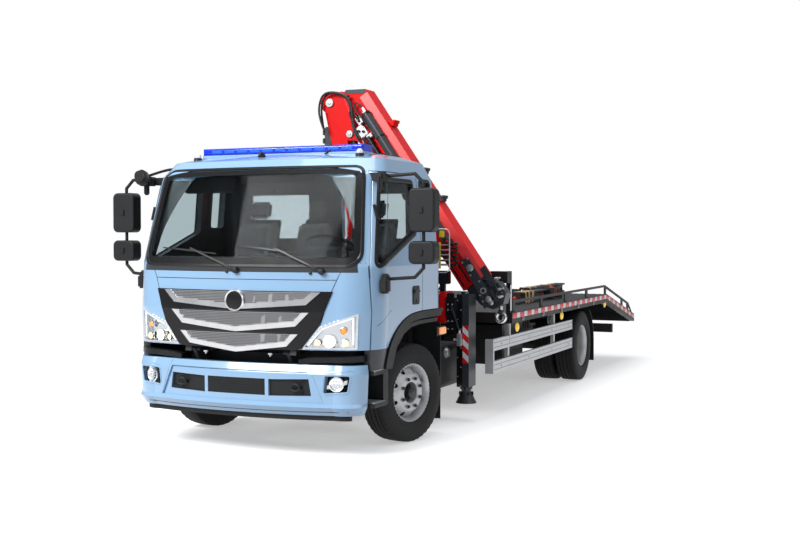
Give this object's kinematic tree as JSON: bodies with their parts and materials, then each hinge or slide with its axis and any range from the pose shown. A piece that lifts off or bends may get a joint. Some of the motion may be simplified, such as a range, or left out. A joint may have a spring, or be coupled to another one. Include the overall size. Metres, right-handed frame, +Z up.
{
  "type": "tow truck",
  "caption": "Cab-over recovery truck with a long sloping-tail platform, a folded loader crane behind a tilting cab, outriggers, twin rear tyres and a blue light bar",
  "frame": {"origin": "Middle of the overall length and width, on the ground", "axes": "+X to the truck's left, -Y towards the front, +Z up"},
  "size_m": [2.912, 8.1398, 3.0451],
  "materials": {
    "tyre": "matt black rubber",
    "wheel_steel": "silver painted steel",
    "axle_steel": "black painted castings",
    "frame_paint": "black chassis paint",
    "body_paint": "pale blue gloss paint",
    "glass": "tinted glass",
    "black_plastic": "black moulded plastic",
    "gloss_black": "gloss black plastic",
    "silver_trim": "bright silver mesh and bars",
    "lamp_chrome": "bright reflector",
    "lamp_glass": "clear lamp glass",
    "seat_cloth": "grey cloth",
    "blue_lens": "blue beacon lens",
    "red_lens": "red lamp lens",
    "crane_red": "red gloss paint",
    "crane_black": "dark grey paint",
    "deck_steel": "worn black deck plate",
    "guard_alu": "plain aluminium section",
    "bare_steel": "bright rods and hook",
    "tank_grey": "dark grey paint"
  },
  "bodies": {
    "chassis": {"chassis_frame": "frame_paint", "front_axle": "axle_steel", "rear_axle": "axle_steel", "engine": "axle_steel", "front_bumper": "body_paint", "bumper_inserts": "black_plastic", "fog_lamps": "lamp_glass", "front_mudguards": "black_plastic", "side_boxes": "tank_grey", "bed_frame": "frame_paint", "deck_plate": "deck_steel", "bed_rails": "frame_paint", "side_guards": "guard_alu", "rear_mudguards": "black_plastic", "rear_underrun": "frame_paint", "tail_lamps": "red_lens", "crane_base": "frame_paint"},
    "cab": {"cab_shell": "body_paint", "windscreen": "glass", "cab_windows": "glass", "grille_panel": "gloss_black", "grille_bars": "silver_trim", "headlamp_bowls": "lamp_chrome", "headlamp_lenses": "lamp_glass", "dashboard": "black_plastic", "seats": "seat_cloth", "steering_wheel": "black_plastic", "wipers": "black_plastic", "light_bar_mount": "body_paint", "light_bar": "blue_lens"},
    "left_door": {"door_left": "body_paint", "door_glass_left": "glass", "mirror_left": "black_plastic"},
    "right_door": {"door_right": "body_paint", "door_glass_right": "glass", "mirror_right": "black_plastic"},
    "left_knuckle": {"knuckle_left": "axle_steel"},
    "right_knuckle": {"knuckle_right": "axle_steel"},
    "front_left_wheel": {"tyre_front_left": "tyre", "rim_front_left": "wheel_steel"},
    "front_right_wheel": {"tyre_front_right": "tyre", "rim_front_right": "wheel_steel"},
    "rear_left_wheels": {"tyres_rear_left": "tyre", "rims_rear_left": "wheel_steel"},
    "rear_right_wheels": {"tyres_rear_right": "tyre", "rims_rear_right": "wheel_steel"},
    "left_outrigger": {"outrigger_left": "crane_black"},
    "right_outrigger": {"outrigger_right": "crane_black"},
    "left_foot": {"outrigger_foot_left": "crane_black"},
    "right_foot": {"outrigger_foot_right": "crane_black"},
    "column": {"crane_column": "crane_red"},
    "inner_arm": {"inner_boom": "crane_red"},
    "outer_arm": {"outer_boom": "crane_red", "extension_ram": "crane_black"},
    "extension": {"extension_boom": "crane_black", "hook": "bare_steel"},
    "lift_cylinder": {"lift_barrel": "crane_black"},
    "lift_piston": {"lift_rod": "bare_steel"},
    "fold_cylinder": {"fold_barrel": "crane_black"},
    "fold_piston": {"fold_rod": "bare_steel"}
  },
  "joints": [
    {"name": "steer_left", "type": "hinge", "parent": "chassis", "child": "left_knuckle", "pos_m": [0.82, -2.94, 0.3985], "axis": [0, 0, 1], "range_deg": [-23, 53]},
    {"name": "steer_right", "type": "hinge", "parent": "chassis", "child": "right_knuckle", "pos_m": [-0.82, -2.94, 0.3985], "axis": [0, 0, 1], "range_deg": [-23, 53]},
    {"name": "front_left_spin", "type": "hinge", "parent": "left_knuckle", "child": "front_left_wheel", "pos_m": [0.91659, -2.9659, 0.3985], "axis": [0.9659, -0.2588, 0], "continuous": true},
    {"name": "front_right_spin", "type": "hinge", "parent": "right_knuckle", "child": "front_right_wheel", "pos_m": [-0.91659, -2.9141, 0.3985], "axis": [0.9659, -0.2588, 0], "continuous": true},
    {"name": "rear_left_spin", "type": "hinge", "parent": "chassis", "child": "rear_left_wheels", "pos_m": [1.009, 1.46, 0.3985], "axis": [1, 0, 0], "continuous": true},
    {"name": "rear_right_spin", "type": "hinge", "parent": "chassis", "child": "rear_right_wheels", "pos_m": [-1.009, 1.46, 0.3985], "axis": [1, 0, 0], "continuous": true},
    {"name": "cab_tilt", "type": "hinge", "parent": "chassis", "child": "cab", "pos_m": [0, -3.94, 0.785], "axis": [1, 0, 0], "range_deg": [0, 45]},
    {"name": "door_left_hinge", "type": "hinge", "parent": "cab", "child": "left_door", "pos_m": [1, -3.74, 1.1], "axis": [0, 0, -1], "range_deg": [0, 70]},
    {"name": "door_right_hinge", "type": "hinge", "parent": "cab", "child": "right_door", "pos_m": [-1, -3.74, 1.1], "axis": [0, 0, 1], "range_deg": [0, 70]},
    {"name": "outrigger_left_slide", "type": "slide", "parent": "chassis", "child": "left_outrigger", "axis": [1, 0, 0], "range_m": [0, 0.45]},
    {"name": "outrigger_right_slide", "type": "slide", "parent": "chassis", "child": "right_outrigger", "axis": [-1, 0, 0], "range_m": [0, 0.45]},
    {"name": "foot_left_slide", "type": "slide", "parent": "left_outrigger", "child": "left_foot", "axis": [0, 0, -1], "range_m": [0, 0.155]},
    {"name": "foot_right_slide", "type": "slide", "parent": "right_outrigger", "child": "right_foot", "axis": [0, 0, -1], "range_m": [0, 0.155]},
    {"name": "crane_slew", "type": "hinge", "parent": "chassis", "child": "column", "pos_m": [-0.1, -1.555, 1.15], "axis": [0, 0, 1], "range_deg": [0, 30]},
    {"name": "inner_arm_lift", "type": "hinge", "parent": "column", "child": "inner_arm", "pos_m": [-0.16, -1.555, 1.86], "axis": [0, 1, 0], "range_deg": [0, 45]},
    {"name": "outer_arm_fold", "type": "hinge", "parent": "inner_arm", "child": "outer_arm", "pos_m": [-0.41, -1.555, 2.93], "axis": [0, -1, 0], "range_deg": [0, 90]},
    {"name": "extension_slide", "type": "slide", "parent": "outer_arm", "child": "extension", "axis": [0.5664, 0, -0.8241], "range_m": [0, 0.9]},
    {"name": "lift_cylinder_swing", "type": "hinge", "parent": "column", "child": "lift_cylinder", "pos_m": [0.12, -1.555, 1.29], "axis": [0, 1, 0], "range_deg": [0, 15.8]},
    {"name": "lift_piston_slide", "type": "slide", "parent": "lift_cylinder", "child": "lift_piston", "axis": [0.2234, 0, -0.9747], "range_m": [0, 0.182]},
    {"name": "fold_cylinder_swing", "type": "hinge", "parent": "inner_arm", "child": "fold_cylinder", "pos_m": [-0.038, -1.555, 1.95], "axis": [0, 1, 0], "range_deg": [0, 10]},
    {"name": "fold_piston_slide", "type": "slide", "parent": "fold_cylinder", "child": "fold_piston", "axis": [-0.2273, 0, 0.9738], "range_m": [0, 0.502]}
  ],
  "couplings": [
    {"joint": "steer_right", "follows": "steer_left", "ratio": 1},
    {"joint": "crane_slew", "follows": "outer_arm_fold", "ratio": 0.3},
    {"joint": "inner_arm_lift", "follows": "outer_arm_fold", "ratio": 0.5},
    {"joint": "lift_cylinder_swing", "follows": "outer_arm_fold", "ratio": 0.17366},
    {"joint": "lift_piston_slide", "follows": "outer_arm_fold", "m_per_rad": 0.11499},
    {"joint": "fold_cylinder_swing", "follows": "outer_arm_fold", "ratio": 0.10921},
    {"joint": "fold_piston_slide", "follows": "outer_arm_fold", "m_per_rad": 0.31882}
  ]
}
